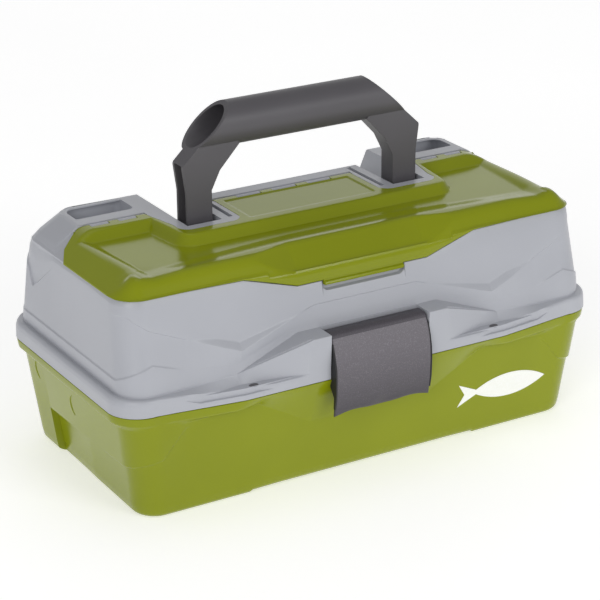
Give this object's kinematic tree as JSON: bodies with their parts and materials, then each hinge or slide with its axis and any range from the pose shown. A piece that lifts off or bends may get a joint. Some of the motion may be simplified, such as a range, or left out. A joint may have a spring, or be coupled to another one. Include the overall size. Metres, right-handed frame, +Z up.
{
  "type": "fishing tackle box",
  "caption": "Plastic fishing tackle box with a cantilever tray on link arms, a hinged lid with a second cover over lid bins, a fold-back handle and a front latch.",
  "frame": {"origin": "centre of the underside, on the surface that the box stands on", "axes": "+X along the box to the right seen from the latch side, -Y to the front with the latch, +Z up"},
  "size_m": [0.343, 0.1951, 0.2243],
  "materials": {
    "green_plastic": "glossy moulded polypropylene",
    "grey_plastic": "satin moulded polypropylene",
    "dark_plastic": "fine spark-textured",
    "tray_plastic": "satin moulded",
    "dark_arm": "satin moulded",
    "steel": "zinc plated",
    "white_print": "pad print"
  },
  "bodies": {
    "base": {"base_tub": "green_plastic", "fish_mark": "white_print", "hinge_pin_left": "steel", "hinge_pin_right": "steel", "rear_arm_rivet_left": "steel", "rear_arm_rivet_right": "steel", "front_arm_rivet_left": "steel", "front_arm_rivet_right": "steel"},
    "lid": {"lid_shell": "grey_plastic", "latch_pin": "steel", "handle_pin_left": "steel", "handle_pin_right": "steel", "lid_link_stud_left": "steel", "lid_link_stud_right": "steel", "bin_divider_left": "tray_plastic", "bin_divider_right": "tray_plastic"},
    "cover": {"top_cover": "green_plastic"},
    "handle": {"carry_handle": "dark_plastic"},
    "latch": {"front_latch": "dark_plastic"},
    "tray": {"tray": "tray_plastic", "tray_divider_front_1": "tray_plastic", "tray_divider_front_2": "tray_plastic", "tray_divider_front_3": "tray_plastic", "tray_divider_rear_1": "tray_plastic", "tray_divider_rear_2": "tray_plastic", "tray_divider_rear_3": "tray_plastic", "tray_divider_rear_4": "tray_plastic", "tray_divider_rear_5": "tray_plastic", "rear_tray_rivet_left": "steel", "rear_tray_rivet_right": "steel", "front_tray_rivet_left": "steel", "front_tray_rivet_right": "steel"},
    "rear_arms": {"rear_arm_left": "dark_arm", "rear_arm_right": "dark_arm"},
    "front_arms": {"front_arm_left": "dark_arm", "front_arm_right": "dark_arm"}
  },
  "joints": [
    {"name": "lid_hinge", "type": "hinge", "parent": "base", "child": "lid", "pos_m": [0, 0.092, 0.073], "axis": [-1, 0, 0], "range_deg": [0, 100]},
    {"name": "cover_hinge", "type": "hinge", "parent": "lid", "child": "cover", "pos_m": [0, 0.0247, 0.1516], "axis": [-1, 0, 0], "range_deg": [0, 40]},
    {"name": "handle_fold", "type": "hinge", "parent": "lid", "child": "handle", "pos_m": [0, 0.0043, 0.143], "axis": [-1, 0, 0], "range_deg": [0, 90]},
    {"name": "latch_pivot", "type": "hinge", "parent": "lid", "child": "latch", "pos_m": [0, -0.0863, 0.095], "axis": [-1, 0, 0], "range_deg": [0, 75]},
    {"name": "rear_arm_pivot", "type": "hinge", "parent": "base", "child": "rear_arms", "pos_m": [0, 0.045, 0.056], "axis": [-1, 0, 0], "range_deg": [0, 100]},
    {"name": "front_arm_pivot", "type": "hinge", "parent": "base", "child": "front_arms", "pos_m": [0, -0.005, 0.046], "axis": [-1, 0, 0], "range_deg": [0, 100]},
    {"name": "tray_pivot", "type": "hinge", "parent": "rear_arms", "child": "tray", "pos_m": [0, -0.015, 0.061], "axis": [-1, 0, 0], "range_deg": [-100, 0]}
  ],
  "couplings": [
    {"joint": "rear_arm_pivot", "follows": "lid_hinge", "ratio": 1},
    {"joint": "front_arm_pivot", "follows": "lid_hinge", "ratio": 1},
    {"joint": "tray_pivot", "follows": "lid_hinge", "ratio": -1}
  ]
}
